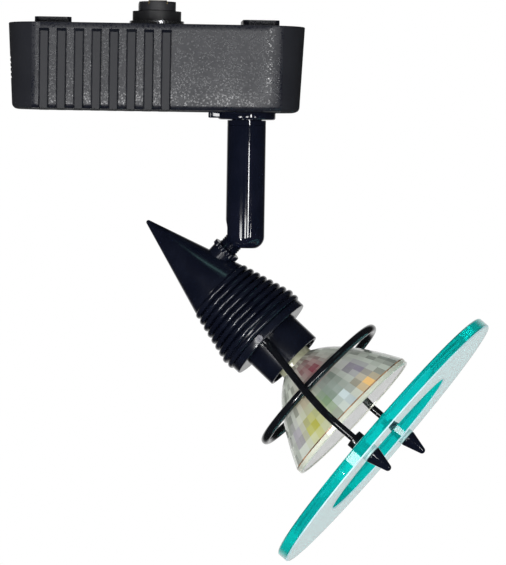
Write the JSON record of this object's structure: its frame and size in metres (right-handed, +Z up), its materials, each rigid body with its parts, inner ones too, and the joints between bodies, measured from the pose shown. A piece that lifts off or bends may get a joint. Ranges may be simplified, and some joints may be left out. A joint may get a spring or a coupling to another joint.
{
  "type": "track light",
  "caption": "Low-voltage track light: ribbed transformer housing, slotted stem with ball swivel, pointed ribbed cone head, faceted reflector lamp and a teal-edged glass ring on bent arms.",
  "frame": {"origin": "centre of the track lock at the underside of the track, above the middle of the housing", "axes": "+Z up, out of the housing into the track; +X along the housing towards the stem; -Y is the front that the picture shows"},
  "size_m": [0.1593, 0.1005, 0.1833],
  "materials": {
    "housing_plastic": "fine moulded grain, black",
    "adapter_plastic": "smooth moulded black",
    "gloss_black": "gloss black enamel",
    "satin_black": "satin black powder coat",
    "rod_black": "semi-gloss black enamel",
    "zinc_steel": "zinc plated",
    "spring_steel": "drawn wire",
    "brass": "turned",
    "aluminium": "mill",
    "board_green": "solder mask",
    "ferrite": "sintered, dark",
    "copper_wire": "enamelled copper",
    "capacitor_red": "dipped resin",
    "transistor_black": "moulded epoxy",
    "terminal_blue": "moulded",
    "lead_insulation": "silicone sleeve",
    "nylon": "natural, translucent",
    "ceramic": "unglazed steatite",
    "dichroic_glass": "pressed facets, dichroic coating",
    "lamp_glass": "clear quartz",
    "teal_glass": "polished, pale through its faces and teal through its edges"
  },
  "bodies": {
    "base": {"housing_shell": "housing_plastic", "top_cover": "housing_plastic", "cover_screws": "zinc_steel", "stem_bush": "gloss_black", "bush_nut": "brass", "circuit_board": "board_green", "toroid_core": "ferrite", "toroid_winding": "copper_wire", "film_capacitors": "capacitor_red", "power_transistors": "transistor_black", "heat_spreader": "aluminium", "terminal_block": "terminal_blue", "input_leads": "lead_insulation", "output_leads": "lead_insulation"},
    "lock": {"lock_turret": "adapter_plastic", "contact_blades": "brass", "lock_lever": "zinc_steel", "turret_clip": "zinc_steel"},
    "stem": {"stem_tube": "gloss_black", "stem_spigot": "gloss_black", "stem_retainer": "brass", "thrust_washer": "zinc_steel", "friction_cup": "nylon", "friction_spring": "spring_steel"},
    "swivel": {"ball_stud": "satin_black"},
    "nut": {"lock_nut": "satin_black"},
    "head": {"cone_shell": "satin_black", "socket_sleeve": "satin_black", "lamp_socket": "ceramic", "socket_contacts": "brass", "socket_leads": "lead_insulation", "lamp_base": "ceramic", "lamp_pins": "zinc_steel", "lamp_reflector": "dichroic_glass", "lamp_capsule": "lamp_glass", "lamp_filament": "spring_steel", "lamp_front_glass": "lamp_glass", "near_arm": "rod_black", "far_arm": "rod_black", "spreader_ring": "rod_black", "set_screws": "zinc_steel", "shoulder_collars": "rod_black", "glass_disc": "teal_glass", "disc_bushes": "nylon", "finials": "rod_black"}
  },
  "joints": [
    {"name": "adapter_lock", "type": "hinge", "parent": "base", "child": "lock", "pos_m": [0, 0, 0], "axis": [0, 0, 1], "range_deg": [0, 90]},
    {"name": "stem_swivel", "type": "hinge", "parent": "base", "child": "stem", "pos_m": [0.0301, 0, -0.0686], "axis": [0, 0, 1], "range_deg": [-175, 175]},
    {"name": "head_tilt", "type": "hinge", "parent": "stem", "child": "swivel", "pos_m": [0.0301, 0, -0.0686], "axis": [0.2334, 0.9724, 0], "range_deg": [-41, 47]},
    {"name": "nut_turn", "type": "hinge", "parent": "swivel", "child": "nut", "pos_m": [0.0301, 0, -0.0686], "axis": [-0.6506, 0.1562, -0.7431], "range_deg": [-180, 180]},
    {"name": "head_turn", "type": "hinge", "parent": "swivel", "child": "head", "pos_m": [0.0301, 0, -0.0686], "axis": [-0.6506, 0.1562, -0.7431], "range_deg": [-60, 60]}
  ]
}
